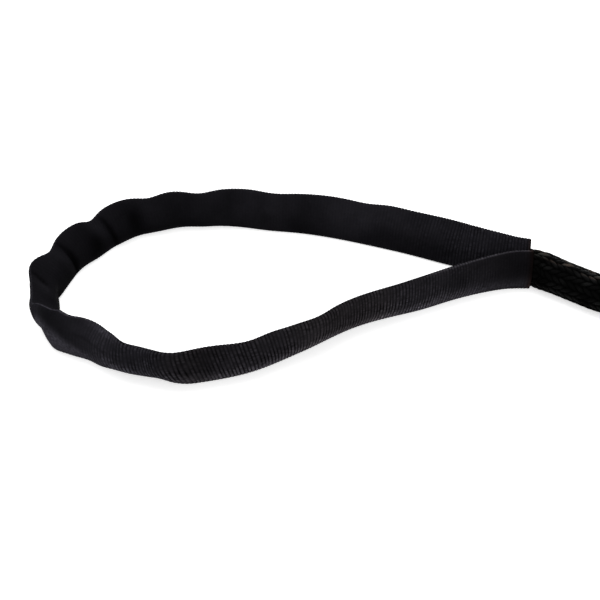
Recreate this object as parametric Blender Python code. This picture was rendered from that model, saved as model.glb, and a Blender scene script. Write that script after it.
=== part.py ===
# Rope protector sleeve: flat tubular webbing threaded over the spliced eye of a braided rope.
# The eye stands on edge as a teardrop loop, and the rest of the rope lies beside it in a coil.
# All lengths are in metres, +Z is up, and the sleeve rests on the plane z = 0.

import math

import bmesh
import bpy
import numpy as np
from mathutils import Vector

# Driving dimensions
eye_length = 0.270          # bow to mouth along the loop's middle line
eye_width = 0.137           # across the loop's middle line
webbing_width = 0.0254      # tubular webbing pressed flat
webbing_wall = 0.0011       # one ply of the webbing
rope_diameter = 0.016
splice_diameter = 0.0195    # rope with its own tail buried inside
touch_gap = 0.0003          # between pieces that touch

# Webbing sleeve
fold_half = 0.0011          # half thickness at a folded edge
fold_flat_half = 0.0007     # half width of the narrow face along an edge
bore_flat_half = 0.00015    # the same at the ends of the bore
edge_cut = 0.0005           # how far the standing edge is cut flat
belly_power = 0.72          # fullness of the section between its folds
pillow_swell = 0.0016       # how far the webbing stands off the rope between creases
pillow_power = 0.6          # fullness of the pillows between the creases
outer_swell_share = 0.5     # the outer face swells less than the inner one
slope_share = 1.6           # the bore's narrow ends, set back by this much of the wall
crease_dip = 0.0030         # how far a crease draws the upper edge down
lean_most = math.radians(30)
sleeve_stations = 116
sleeve_side_points = 5
curve_steps = 24            # steps of the smooth curve between two places of the route

# Eye rope inside the sleeve
leg_height = 0.0155         # the rope is pressed to an oval
leg_thickness = 0.0065
leg_proud = 0.0010          # leg standing past the sleeve's cut end
leg_gap = 0.0004            # between the rope's flats and the webbing
leg_sides = 10

# Splice
throat_half_width = 0.0085  # where the two legs come together
hinge_reach = 0.0055        # bend point ahead of the sleeve's cut ends
hinge_drop = 0.0010         # bend point to the side of the mouth's middle
rest_bend = math.radians(-35)
cup_gap = 0.00036           # between the nose and the cup
cup_start = 0.0060          # rim of the cup ahead of the bend point
splice_length = 0.0600      # bend point to the end of the swelling
taper_length = 0.0220
tail_radius = 0.0050
tail_tip_radius = 0.0012
tail_length = 0.0400
tail_start = 0.0104
splice_sides = 16
nose_rings = 6
cup_rings = 4
taper_rings = 6
tail_rings = 5

# Standing rope and coil
lead_length = 0.1175        # bend point to the first turn of the coil
coil_radius = 0.0930        # middle line of the outer turn
turn_step = 0.0172          # from one turn to the next, beside it and above it
layer_turns = 1.0
climb_turns = 0.5
end_length = 0.0300         # straight end of the rope
points_per_turn = 24
lead_points = 5
lead_resolution = 4
coil_resolution = 1
coil_roll = math.radians(30)  # the six-sided tube lies on an edge

# Tie and whipping
tie_thickness = 0.0012
tie_width = 0.0120
tie_slack = 0.0009          # room between the tie and the turns
tie_turn_share = 0.76       # where the tie goes round the first turn
tie_spread_turns = 0.14
tie_arc_points = 8
whipping_wall = 0.0006
whipping_length = 0.0180
whipping_inset = 0.0040     # rope showing past the whipping
whipping_sides = 16

# From the middle of the part's box to the middle of the loop, as shares of eye_length and eye_width.
loop_middle_shares = (-0.0301, -0.0030)

# Middle line of the loop's standing edge, from the rear arm's cut end round the bow to the front
# arm's cut end: shares of eye_length and eye_width, measured from the middle of the loop.
loop_plan_shares = [
    (0.523, 0.146), (0.489, 0.153), (0.452, 0.171), (0.409, 0.193), (0.363, 0.224), (0.258, 0.322),
    (0.149, 0.397), (0.038, 0.455), (-0.074, 0.498), (-0.167, 0.512), (-0.241, 0.498),
    (-0.315, 0.447), (-0.366, 0.375), (-0.404, 0.298), (-0.433, 0.215), (-0.452, 0.112),
    (-0.467, 0.014), (-0.467, -0.073), (-0.460, -0.155), (-0.451, -0.219), (-0.445, -0.293),
    (-0.414, -0.329), (-0.373, -0.369), (-0.333, -0.407), (-0.294, -0.433), (-0.244, -0.458),
    (-0.198, -0.491), (-0.155, -0.489), (-0.060, -0.431), (0.038, -0.315), (0.140, -0.177),
    (0.245, -0.085), (0.353, 0.000), (0.418, 0.045), (0.462, 0.067), (0.490, 0.073), (0.523, 0.073),
]

# Outward lean of the webbing at the same places, as shares of lean_most.
loop_lean_shares = [
    0.20, 0.36, 0.56, 0.78, 0.90, 0.78,
    0.60, 0.48, 0.34, 0.12, 0.12,
    0.22, 0.33, 0.45, 0.62, 0.75,
    1.00, 0.90, 0.75, 0.76, -0.27,
    -0.20, -0.12, 0.25, 0.60, 0.62,
    0.42, 0.24, 0.38, 0.42, 0.42,
    0.36, 0.17, 0.05, -0.06, -0.14, -0.15,
]

# Creases along the sleeve: share of its length, and how deep each one is.
crease_shares = [
    (0.000, 0.1), (0.100, 0.1), (0.235, 0.3), (0.313, 0.7), (0.359, 0.9), (0.416, 1.0), (0.454, 1.0),
    (0.484, 0.6), (0.522, 1.0), (0.574, 0.7), (0.626, 0.7), (0.690, 0.4), (0.800, 0.1), (1.000, 0.1),
]

webbing_colour = (0.0080, 0.0075, 0.0100, 1)
rope_colour = (0.0060, 0.0055, 0.0060, 1)
twine_colour = (0.0150, 0.0145, 0.0160, 1)
cloth_roughness = 0.9
rope_roughness = 0.75
sharp_angle = math.radians(50)


def make_material(name, colour, roughness):
    material = bpy.data.materials.new(name)
    material.use_nodes = True
    shader = material.node_tree.nodes["Principled BSDF"]
    shader.inputs["Base Color"].default_value = colour
    shader.inputs["Roughness"].default_value = roughness
    shader.inputs["Metallic"].default_value = 0
    return material


def add_mesh(name, mesh_builder, material):
    mesh = bpy.data.meshes.new(name)
    bmesh.ops.recalc_face_normals(mesh_builder, faces=mesh_builder.faces)
    mesh_builder.to_mesh(mesh)
    mesh_builder.free()
    mesh.materials.append(material)
    mesh.shade_smooth()
    mesh.set_sharp_from_angle(angle=sharp_angle)
    obj = bpy.data.objects.new(name, mesh)
    bpy.context.scene.collection.objects.link(obj)
    return obj


def skin_rings(builder, rings, closed=False):
    # Joins each ring of points to the next with quads, and the last to the first if closed.
    loops = [[builder.verts.new(point) for point in ring] for ring in rings]
    following_loops = loops[1:] + loops[:1] if closed else loops[1:]
    for near, far in zip(loops, following_loops):
        count = len(near)
        for index in range(count):
            following = (index + 1) % count
            builder.faces.new((near[index], near[following], far[following], far[index]))
    return loops


def closed_loft(rings):
    # A solid skinned through the rings, with a flat face on the first and on the last.
    builder = bmesh.new()
    loops = skin_rings(builder, rings)
    builder.faces.new(loops[0])
    builder.faces.new(loops[-1])
    return builder


def smooth_route(points, count):
    # Places evenly spaced by length on a smooth curve through the points.
    fine = []
    knots = [points[0] * 2 - points[1]] + list(points) + [points[-1] * 2 - points[-2]]
    for before, start, end, after in zip(knots, knots[1:], knots[2:], knots[3:]):
        for step in range(curve_steps):
            t = step / curve_steps
            bend = 2 * before - 5 * start + 4 * end - after
            twist = 3 * start - before - 3 * end + after
            fine.append((2 * start + (end - before) * t + bend * t ** 2 + twist * t ** 3) / 2)
    fine.append(points[-1])
    fine = np.array(fine)
    steps_along = np.linalg.norm(np.diff(fine[:, :2], axis=0), axis=1)
    reach = np.concatenate([[0], np.cumsum(steps_along)])
    places = np.linspace(0, reach[-1], count)
    return np.array([np.interp(places, reach, fine[:, axis]) for axis in range(fine.shape[1])]).T


def crease_at(share):
    # How deep a crease is here, from 0 to 1, and how full the pillow between two creases is.
    for (start, start_depth), (end, end_depth) in zip(crease_shares[:-1], crease_shares[1:]):
        if share <= end:
            across = (share - start) / (end - start)
            depth = start_depth + (end_depth - start_depth) * across
            pillow = math.sin(math.pi * across) ** pillow_power
            return depth * (1 - pillow), depth * pillow
    return 0, 0


def loop_place(shares):
    return ((shares[0] + loop_middle_shares[0]) * eye_length, (shares[1] + loop_middle_shares[1]) * eye_width)


def loop_frames():
    # Standing place, outward direction, upward direction, crease and pillow of each station.
    plan = np.array([(*loop_place(place), lean * lean_most)
                     for place, lean in zip(loop_plan_shares, loop_lean_shares)])
    route = smooth_route(plan, sleeve_stations)
    frames = []
    for index, (x, y, lean) in enumerate(route):
        before = route[max(index - 1, 0)]
        after = route[min(index + 1, sleeve_stations - 1)]
        along = Vector((after[0] - before[0], after[1] - before[1], 0)).normalized()
        if index == 0:
            along = Vector((-1, 0, 0))
        if index == sleeve_stations - 1:
            along = Vector((1, 0, 0))
        outward = Vector((along.y, -along.x, 0))
        up = Vector((0, 0, 1)) * math.cos(lean) + outward * math.sin(lean)
        out = outward * math.cos(lean) - Vector((0, 0, 1)) * math.sin(lean)
        crease, pillow = crease_at(index / (sleeve_stations - 1))
        frames.append((Vector((x, y, 0)), along, up, out, crease, pillow))
    return frames


def belly_half():
    return leg_thickness / 2 + leg_gap + webbing_wall


def webbing_section(frame, inset):
    # Ring round the flattened tube; inset 0 is the outer face and the wall gives the bore.
    place, _, up, out, crease, pillow = frame
    height = webbing_width - crease_dip * crease
    low = inset * slope_share
    high = height - inset * slope_share
    thin = bore_flat_half if inset else fold_flat_half
    sides = []
    for side in (-1, 1):
        swell = pillow_swell * pillow * (1 if side < 0 else outer_swell_share)
        column = [(low, side * thin)]
        for step in range(1, sleeve_side_points + 1):
            share = step / (sleeve_side_points + 1)
            fullness = math.sin(math.pi * share) ** belly_power
            half = fold_half + (belly_half() + swell - fold_half) * fullness - inset
            column.append((low + (high - low) * share, side * half))
        column.append((high, side * thin))
        sides.append(column)
    ring = sides[0] + sides[1][::-1]
    points = []
    for rise, reach in ring:
        point = place + up * rise + out * reach
        point.z = max(point.z - edge_cut, 0)
        points.append(point)
    return points


def build_sleeve(frames, material):
    outer = [webbing_section(frame, 0) for frame in frames]
    bore = [webbing_section(frame, webbing_wall) for frame in frames]
    builder = bmesh.new()
    skin_rings(builder, outer + bore[::-1], True)
    return add_mesh("webbing_sleeve", builder, material)


def build_eye_rope(frames, material):
    rings = []
    last = len(frames) - 1
    for index, (place, along, up, out, _, _) in enumerate(frames):
        shift = leg_proud * ((index == last) - (index == 0))
        centre = place + along * shift + up * (webbing_width - crease_dip) / 2 - Vector((0, 0, edge_cut))
        ring = []
        for step in range(leg_sides):
            angle = math.tau * (step + 0.5) / leg_sides
            rise = math.sin(angle) * leg_height / 2
            reach = math.cos(angle) * leg_thickness / 2
            ring.append(centre + up * rise + out * reach)
        rings.append(ring)
    return add_mesh("eye_rope", closed_loft(rings), material)


def disc(centre, along, radius, sides, flat=1):
    # Upright ring of points, square to a level direction.
    side = Vector((-along.y, along.x, 0))
    ring = []
    for step in range(sides):
        angle = math.tau * (step + 0.5) / sides
        offset = side * math.cos(angle) * radius * flat + Vector((0, 0, 1)) * math.sin(angle) * radius
        ring.append(centre + offset)
    return ring


def mouth_middle():
    rear = loop_place(loop_plan_shares[0])
    front = loop_place(loop_plan_shares[-1])
    return Vector((rear[0], (rear[1] + front[1]) / 2, 0))


def bend_point():
    # Where the rope flexes as it leaves the sleeve, on the rope's middle line.
    return mouth_middle() + Vector((hinge_reach, -hinge_drop, splice_diameter / 2))


def rope_direction():
    return Vector((math.cos(rest_bend), math.sin(rest_bend), 0))


def build_splice_throat(material):
    radius = splice_diameter / 2
    centre = bend_point()
    start = mouth_middle() + Vector((leg_proud + touch_gap, 0, radius))
    ahead = Vector((1, 0, 0))
    rings = [disc(start, ahead, radius, splice_sides, throat_half_width / radius)]
    for step in range(nose_rings):
        angle = math.pi / 2 * step / nose_rings
        place = centre + ahead * radius * math.sin(angle)
        rings.append(disc(place, ahead, radius * math.cos(angle), splice_sides))
    builder = closed_loft(rings)
    return add_mesh("splice_throat", builder, material)


def swelling_radius(reach):
    # Outside radius of the splice, which tapers down to the plain rope.
    share = (reach - (splice_length - taper_length)) / taper_length
    share = min(max(share, 0), 1)
    blend = share * share * (3 - 2 * share)
    return splice_diameter / 2 + (rope_diameter / 2 - splice_diameter / 2) * blend


def tail_radius_at(reach):
    share = (reach - tail_start) / tail_length
    return tail_radius + (tail_tip_radius - tail_radius) * share


def build_splice_cover(material):
    centre = bend_point()
    ahead = rope_direction()
    cup_radius = splice_diameter / 2 + cup_gap
    rings = []
    bore_end = tail_start + tail_length + touch_gap
    bore_mouth = tail_radius + touch_gap
    cup_floor = math.sqrt(cup_radius ** 2 - bore_mouth ** 2)
    for reach in (bore_end, cup_floor):
        radius = tail_radius_at(reach) + touch_gap
        if reach == cup_floor:
            radius = bore_mouth
        rings.append(disc(centre + ahead * reach, ahead, radius, splice_sides))
    for step in range(1, cup_rings + 1):
        reach = cup_floor + (cup_start - cup_floor) * step / cup_rings
        radius = math.sqrt(cup_radius ** 2 - reach ** 2)
        rings.append(disc(centre + ahead * reach, ahead, radius, splice_sides))
    taper = np.linspace(splice_length - taper_length, splice_length, taper_rings)
    for reach in [cup_start, *taper]:
        radius = swelling_radius(reach)
        drop = Vector((0, 0, radius - splice_diameter / 2))
        rings.append(disc(centre + ahead * reach + drop, ahead, radius, splice_sides))
    return add_mesh("splice_cover", closed_loft(rings), material)


def build_buried_tail(material):
    centre = bend_point()
    ahead = rope_direction()
    rings = []
    for share in np.linspace(0, 1, tail_rings):
        reach = tail_start + tail_length * share
        rings.append(disc(centre + ahead * reach, ahead, tail_radius_at(reach), splice_sides))
    return add_mesh("buried_tail", closed_loft(rings), material)


def coil_start():
    start = bend_point() + rope_direction() * lead_length
    return Vector((start.x, start.y, rope_diameter / 2))


def coil_middle():
    # The rope runs into the outer turn along its tangent, anticlockwise.
    angle = rest_bend - math.pi / 2
    return coil_start() - Vector((math.cos(angle), math.sin(angle), 0)) * coil_radius


def tie_turn():
    # The tie sits halfway between two points of the coil, where the rope runs straight.
    return (math.floor(tie_turn_share * points_per_turn) + 0.5) / points_per_turn


def tie_lift(turn):
    # The turns rise over the tie, which passes beneath them.
    apart = abs((turn - tie_turn() + 0.5) % 1 - 0.5)
    apart = max(apart - 0.5 / points_per_turn, 0)
    if apart > tie_spread_turns:
        return 0
    return (tie_thickness + tie_slack) * (1 + math.cos(math.pi * apart / tie_spread_turns)) / 2


def coil_point(turn):
    # Middle line of the coil: in over the first layer, up half a turn, and out over the second.
    turning = layer_turns + climb_turns / 2
    radius = coil_radius - turn_step * (turning - abs(turn - turning))
    climb = min(max((turn - layer_turns) / climb_turns, 0), 1)
    climb = climb * climb * (3 - 2 * climb)
    angle = rest_bend - math.pi / 2 + math.tau * turn
    rise = turn_step * climb + tie_lift(turn)
    return coil_middle() + Vector((math.cos(angle) * radius, math.sin(angle) * radius, rise))


def coil_points():
    turns = 2 * layer_turns + climb_turns
    count = round(turns * points_per_turn)
    points = [coil_start() - rope_direction() * rope_diameter]
    points += [coil_point(turns * step / count) for step in range(count + 1)]
    heading = (coil_point(turns) - coil_point(turns - 1 / (8 * points_per_turn))).normalized()
    points.append(points[-1] + heading * end_length / 2)
    points.append(points[-2] + heading * end_length)
    return points


def add_rope(name, points, material, resolution, roll):
    curve = bpy.data.curves.new(name, "CURVE")
    curve.dimensions = "3D"
    curve.bevel_depth = rope_diameter / 2
    curve.bevel_resolution = resolution
    curve.use_fill_caps = True
    spline = curve.splines.new("POLY")
    spline.points.add(len(points) - 1)
    for target, point in zip(spline.points, points):
        target.co = (*point, 1)
        target.tilt = roll
    curve.materials.append(material)
    obj = bpy.data.objects.new(name, curve)
    bpy.context.scene.collection.objects.link(obj)
    return obj


def build_standing_rope(material):
    ahead = rope_direction()
    start = bend_point() + ahead * (splice_length + touch_gap)
    start.z = rope_diameter / 2
    end = coil_start() - ahead * (rope_diameter + touch_gap)
    points = [start.lerp(end, step / (lead_points - 1)) for step in range(lead_points)]
    return add_rope("standing_rope", points, material, lead_resolution, 0)


def least_coil_gap(points):
    # Clear distance between turns, from points at least a quarter turn apart.
    apart = points_per_turn // 4
    least = coil_radius
    for index, point in enumerate(points):
        for other in range(index + apart, len(points) - 1):
            near, far = points[other], points[other + 1]
            span = far - near
            share = min(max((point - near).dot(span) / span.length_squared, 0), 1)
            least = min(least, (point - near - span * share).length)
    return least - rope_diameter


def build_coil(material):
    points = coil_points()
    print("least gap between the coil's turns, mm:", round(least_coil_gap(points) * 1000, 2))
    length = sum((far - near).length for near, far in zip(points[:-1], points[1:]))
    print("rope from the bend point to its end, m:", round(length + lead_length - rope_diameter, 3))
    return add_rope("rope_coil", points, material, coil_resolution, coil_roll)


def tie_ring(centre, across, along_shift, reach):
    # Upright oval round the two stacked turns.
    ring = []
    straight = turn_step / 2
    for end in (1, -1):
        for step in range(tie_arc_points + 1):
            angle = math.pi * step / tie_arc_points
            side = across * math.cos(angle) * end * reach
            rise = Vector((0, 0, (math.sin(angle) * reach + straight) * end))
            ring.append(centre + along_shift + side + rise)
    return ring


def build_tie(material):
    half_step = 0.5 / points_per_turn
    corners = [coil_point(tie_turn() + layer_turns * layer + half_step * side)
               for layer in (0, 1) for side in (-1, 1)]
    centre = sum(corners, Vector()) / len(corners)
    along = (corners[1] - corners[0]).normalized()
    across = Vector((along.y, -along.x, 0))
    inner = rope_diameter / 2 + tie_slack
    outer = inner + tie_thickness
    shift = along * tie_width / 2
    rings = [
        tie_ring(centre, across, -shift, inner),
        tie_ring(centre, across, -shift, outer),
        tie_ring(centre, across, shift, outer),
        tie_ring(centre, across, shift, inner),
    ]
    builder = bmesh.new()
    skin_rings(builder, rings, True)
    return add_mesh("coil_tie", builder, material)


def build_whipping(material):
    points = coil_points()
    heading = (points[-1] - points[-2]).normalized()
    tip = points[-1]
    inner = rope_diameter / 2 + touch_gap
    outer = inner + whipping_wall
    far = tip - heading * whipping_inset
    near = far - heading * whipping_length
    rings = [
        disc(near, heading, inner, whipping_sides),
        disc(near, heading, outer, whipping_sides),
        disc(far, heading, outer, whipping_sides),
        disc(far, heading, inner, whipping_sides),
    ]
    builder = bmesh.new()
    skin_rings(builder, rings, True)
    return add_mesh("end_whipping", builder, material)


def main():
    for obj in list(bpy.data.objects):
        bpy.data.objects.remove(obj)
    webbing = make_material("woven_webbing", webbing_colour, cloth_roughness)
    rope = make_material("braided_rope", rope_colour, rope_roughness)
    twine = make_material("twine", twine_colour, cloth_roughness)
    frames = loop_frames()
    sleeve = build_sleeve(frames, webbing)
    build_eye_rope(frames, rope)
    build_splice_throat(rope)
    build_splice_cover(rope)
    build_buried_tail(rope)
    build_standing_rope(rope)
    build_coil(rope)
    build_tie(twine)
    build_whipping(twine)
    corners = np.array([vertex.co for vertex in sleeve.data.vertices])
    print("sleeve's lowest corner, mm:", (corners.min(axis=0) * 1000).round(2))
    print("sleeve's highest corner, mm:", (corners.max(axis=0) * 1000).round(2))
    print("bend point, mm:", [round(value * 1000, 2) for value in bend_point()])


main()
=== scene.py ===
import math
import bpy
import numpy as np
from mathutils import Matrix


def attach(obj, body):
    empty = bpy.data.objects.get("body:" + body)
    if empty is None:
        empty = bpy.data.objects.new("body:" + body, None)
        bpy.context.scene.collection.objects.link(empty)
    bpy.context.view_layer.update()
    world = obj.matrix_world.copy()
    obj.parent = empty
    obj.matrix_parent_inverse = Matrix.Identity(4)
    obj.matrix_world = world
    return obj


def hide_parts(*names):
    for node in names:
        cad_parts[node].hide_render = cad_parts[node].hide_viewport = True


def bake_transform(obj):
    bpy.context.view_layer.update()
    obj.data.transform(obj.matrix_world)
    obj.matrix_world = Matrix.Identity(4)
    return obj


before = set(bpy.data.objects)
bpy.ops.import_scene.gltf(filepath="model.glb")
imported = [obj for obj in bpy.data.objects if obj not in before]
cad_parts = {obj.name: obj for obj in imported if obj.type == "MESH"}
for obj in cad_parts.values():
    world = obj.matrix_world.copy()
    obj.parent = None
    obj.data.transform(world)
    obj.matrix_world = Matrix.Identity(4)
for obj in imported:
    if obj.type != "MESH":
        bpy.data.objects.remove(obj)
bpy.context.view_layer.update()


def setInputs(tree, node, inputs):
    for key, value in inputs.items():
        if isinstance(value, bpy.types.NodeSocket):
            tree.links.new(value, node.inputs[key])
        else:
            node.inputs[key].default_value = value


def addNode(tree, kind, inputs=None, **settings):
    node = tree.nodes.new(kind)
    for name, value in settings.items():
        setattr(node, name, value)
    setInputs(tree, node, inputs or {})
    return node


def linear(hexColour):
    channels = [int(hexColour[i:i + 2], 16) / 255 for i in (1, 3, 5)]
    return [c / 12.92 if c < 0.04045 else ((c + 0.055) / 1.055) ** 2.4 for c in channels] + [1]


def newMaterial(name):
    material = bpy.data.materials.new(name)
    material.use_nodes = True
    return material, material.node_tree, material.node_tree.nodes["Principled BSDF"]


# The two coordinates of a woven or braided pattern, which the mesh carries as its UV map
def patternPlace(tree):
    place = addNode(tree, "ShaderNodeUVMap", uv_map="pattern")
    return addNode(tree, "ShaderNodeSeparateXYZ", {0: place.outputs[0]}).outputs[:2]


# A sheet of rows and columns, rolled up: where its edges meet they are merged into a closed skin
def rolledSheet(name, points, uv, material, shadeAndFinish=None):
    rows, columns = points.shape[:2]
    bpy.ops.object.select_all(action="DESELECT")
    bpy.ops.mesh.primitive_grid_add(x_subdivisions=columns - 1, y_subdivisions=rows - 1, size=2)
    piece = bpy.context.object
    piece.name = name
    mesh = piece.data
    flat = np.zeros(len(mesh.vertices) * 3)
    mesh.vertices.foreach_get("co", flat)
    flat = flat.reshape(-1, 3)
    column = np.rint((flat[:, 0] + 1) / 2 * (columns - 1)).astype(int)
    row = np.rint((flat[:, 1] + 1) / 2 * (rows - 1)).astype(int)
    mesh.vertices.foreach_set("co", points[row, column].ravel())
    corner = np.zeros(len(mesh.loops), int)
    mesh.loops.foreach_get("vertex_index", corner)
    mesh.uv_layers[0].name = "pattern"
    mesh.uv_layers[0].data.foreach_set("uv", uv[row[corner], column[corner]].ravel())
    if shadeAndFinish is not None:
        layer = mesh.attributes.new("shadeAndFinish", "FLOAT_COLOR", "POINT")
        layer.data.foreach_set("color", shadeAndFinish[row, column].ravel())
    bpy.ops.object.mode_set(mode="EDIT")
    bpy.ops.mesh.select_all(action="SELECT")
    bpy.ops.mesh.remove_doubles(threshold=0.00001)
    bpy.ops.mesh.normals_make_consistent(inside=False)
    bpy.ops.object.mode_set(mode="OBJECT")
    mesh.update()
    mesh.materials.append(material)
    bpy.ops.object.shade_smooth()
    return piece


def unit(vectors):
    return vectors / np.linalg.norm(vectors, axis=-1, keepdims=True)


# How far along a line each of its points is
def reachAlong(points):
    return np.concatenate([[0], np.cumsum(np.linalg.norm(np.diff(points, axis=0), axis=1))])


# A smooth curve through the points, as evenly spaced places
def smoothRoute(points, count):
    points = np.array(points, float)
    knots = np.vstack([2 * points[0] - points[1], points, 2 * points[-1] - points[-2]])
    t = np.linspace(0, 1, 24, endpoint=False)[:, None]
    runs = []
    for a, b, c, d in zip(knots, knots[1:], knots[2:], knots[3:]):
        square = (2 * a - 5 * b + 4 * c - d) * t ** 2
        cube = (3 * b - a - 3 * c + d) * t ** 3
        runs.append((2 * b + (c - a) * t + square + cube) / 2)
    fine = np.vstack(runs + [points[-1:]])
    reach = reachAlong(fine[:, :2])
    places = np.linspace(0, reach[-1], count)
    return places, np.stack([np.interp(places, reach, fine[:, i]) for i in range(fine.shape[1])], 1)


def smoothStep(x, low, high):
    t = np.clip((x - low) / (high - low), 0, 1)
    return t * t * (3 - 2 * t)


# Rises from 0 at the start to 1 where it is full, and falls back to 0 at the end
def plateau(x, start, full, fading, end):
    return smoothStep(x, start, full) * (1 - smoothStep(x, fading, end))


def bump(x, middle, width):
    return np.exp(-((x - middle) / width) ** 2)


# Camera, as the photograph was taken: 40 degrees above the floor, 0.7 m away
view = {"lookAt": (0.0022, -0.0017, 0.0), "distance": 0.70, "elevation": math.radians(40), "lens": 74.34}
away = np.array([0, -math.cos(view["elevation"]), math.sin(view["elevation"])]) * view["distance"]
bpy.ops.object.camera_add(location=np.array(view["lookAt"]) + away,
                          rotation=(math.pi / 2 - view["elevation"], 0, 0))
bpy.context.scene.camera = bpy.context.object
bpy.context.object.data.lens = view["lens"]
bpy.context.object.data.sensor_width = 36
bpy.context.object.data.clip_start = 0.01
print("camera placed")

# Rope: the route leaves the sleeve's mouth, runs to the coil and goes round it
rope = {
    "diameter": 0.016,
    "spliceDiameter": 0.0195,     # the braid swells over its buried tail
    "swellingEnd": 0.0600,        # from the bend point
    "swellingTaper": 0.0220,
    "start": (0.13339, 0.01439),  # just outside the sleeve's mouth
    "startRise": 0.0010,          # it leaves the mouth this much above its height further on
    "startRiseEnd": 0.018,
    "startFlat": 0.90,            # its width and its height at the mouth, as shares of the diameter
    "startTall": 1.11,
    "flatReach": (0, 0.010),      # where it widens to its full size, and turns into its route
    "tallReach": (0.002, 0.020),  # where it comes down to its full size
    "bendPoint": (0.13859, 0.01359),
    "bendEnd": 0.014,             # it is straight again this far past the bend point
    "heading": math.radians(-35),
    "lead": 0.1175,               # from the bend point to the coil
    "coilRadius": 0.0930,
    "turnStep": 0.0172,
    "turnRuns": 24,               # the solid's coil has this many straight runs to a turn
    "layerTurns": 1.0,            # turns in each of the two layers, and between them
    "climbTurns": 0.5,
    "end": 0.0300,                # the last run, past the coil
    "turnPoints": 96,             # points of the route to a turn
    "softStep": 0.002,
    "softPasses": 8,
    "strands": 32,
    "braidAngle": math.radians(38),
    "around": 128,                # mesh points round the rope near the sleeve, and half as many further on
    "fineRows": 6,                # mesh rows for each crossing near the sleeve
    "coarseRows": 1.5,
    "fineEnd": 0.050,
    "crown": 0.00080,             # a strand's own roundness
    "lift": 0.00062,              # how far a strand rises over the ones that it crosses
    "proud": 0.00070,             # the highest strands stand this far outside the rope's nominal size
    "capShares": (0, 0.35, 0.7, 0.93),  # rings of the dome that closes an end
    "capSize": 0.96,
    "capDome": 0.08,
    "highlightAt": 9.4,               # the strand number where the painted highlight is strongest; number 8 runs along the top
    "dustScale": 90.0,            # dust in patches of about 11 mm
    "tintAndRoughnessScale": 230.0,           # the painted highlight's grey and brown, and the roughness, vary in patches of about 4 mm
    # painted shade in the gaps between the strands
    "gapShadeColour": "#040404",
    "darkColours": ("#070707", "#111111"),
    # the painted highlight along the upper side, in grey and in brown
    "highlightColours": ("#42423f", "#443c37"),
    "roughness": (0.36, 0.50),
    "shine": 0.06,
    "reliefDepth": 0.0005,
}
tie = {
    "turn": (math.floor(0.76 * rope["turnRuns"]) + 0.5) / rope["turnRuns"],
    "slack": 0.0009,
    "slackInside": 0.6,           # the share of the slack that lies inside the tie
    "thickness": 0.0012,
    "width": 0.0120,
    "spread": 0.14,               # the coil comes down again within this share of a turn beside the tie
    "wraps": 8,
    "arcPoints": 15,
}
ropeAhead = np.array([math.cos(rope["heading"]), math.sin(rope["heading"])])


# The coil is lifted a little where the tie passes under it
def tieLift(turn):
    apart = np.abs((turn - tie["turn"] + 0.5) % 1 - 0.5)
    apart = np.maximum(apart - 0.5 / rope["turnRuns"], 0)
    rise = (tie["thickness"] + tie["slack"]) * (1 + np.cos(np.pi * apart / tie["spread"])) / 2
    return np.where(apart > tie["spread"], 0, rise)


def coilPlace(turn):
    radius = rope["diameter"] / 2
    across = np.array([-ropeAhead[1], ropeAhead[0]])
    middle = np.array(rope["bendPoint"]) + ropeAhead * rope["lead"] + across * rope["coilRadius"]
    turning = rope["layerTurns"] + rope["climbTurns"] / 2
    out = rope["coilRadius"] - rope["turnStep"] * (turning - np.abs(turn - turning))
    climb = smoothStep(turn, rope["layerTurns"], rope["layerTurns"] + rope["climbTurns"])
    angle = rope["heading"] - math.pi / 2 + math.tau * turn
    return np.stack([middle[0] + np.cos(angle) * out, middle[1] + np.sin(angle) * out,
                     radius + rope["turnStep"] * climb + tieLift(turn)], 1)


def ropeRadius(reach):
    swollen = 1 - smoothStep(reach, rope["swellingEnd"] - rope["swellingTaper"], rope["swellingEnd"])
    return rope["diameter"] / 2 + (rope["spliceDiameter"] - rope["diameter"]) / 2 * swollen


def ropeRoute():
    bend = np.array(rope["bendPoint"])
    start = np.array(rope["start"])
    t = np.linspace(0, 1, 24)[:, None]
    turned = (1 - t) ** 2 * start + 2 * t * (1 - t) * bend + t ** 2 * (bend + ropeAhead * rope["bendEnd"])
    straight = bend + ropeAhead * np.linspace(rope["bendEnd"] + 0.002, rope["lead"] - 0.004, 50)[:, None]
    flat = np.vstack([turned, straight])
    height = ropeRadius(np.linalg.norm(flat - bend, axis=1))
    height = height + rope["startRise"] * (1 - smoothStep(flat[:, 0] - start[0], 0, rope["startRiseEnd"]))
    turns = 2 * rope["layerTurns"] + rope["climbTurns"]
    coil = coilPlace(np.linspace(0, turns, round(turns * rope["turnPoints"])))
    heading = unit(coil[-1] - coil[-2])
    end = coil[-1] + heading * np.linspace(0.004, rope["end"], 8)[:, None]
    return np.vstack([np.column_stack([flat, height]), coil, end])


def evenly(points, places):
    reach = reachAlong(points)
    return np.stack([np.interp(places, reach, points[:, i]) for i in range(3)], 1)


def softened(points):
    even = evenly(points, np.arange(0, reachAlong(points)[-1], rope["softStep"]))
    for _ in range(rope["softPasses"]):
        even[1:-1] = (even[:-2] + 2 * even[1:-1] + even[2:]) / 4
    return even


def braidHeight(q, k):
    # strands of one hand follow q - k, the others q + k; two over and two under
    a = np.abs((q - k + 1) % 2 - 1)
    b = np.abs((q + k + 1) % 2 - 1)
    lift = np.cos(np.pi / 2 * (q - 0.5)) * rope["lift"]
    return np.maximum(np.sqrt(1 - a ** 2) * rope["crown"] + lift, np.sqrt(1 - b ** 2) * rope["crown"] - lift)


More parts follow.
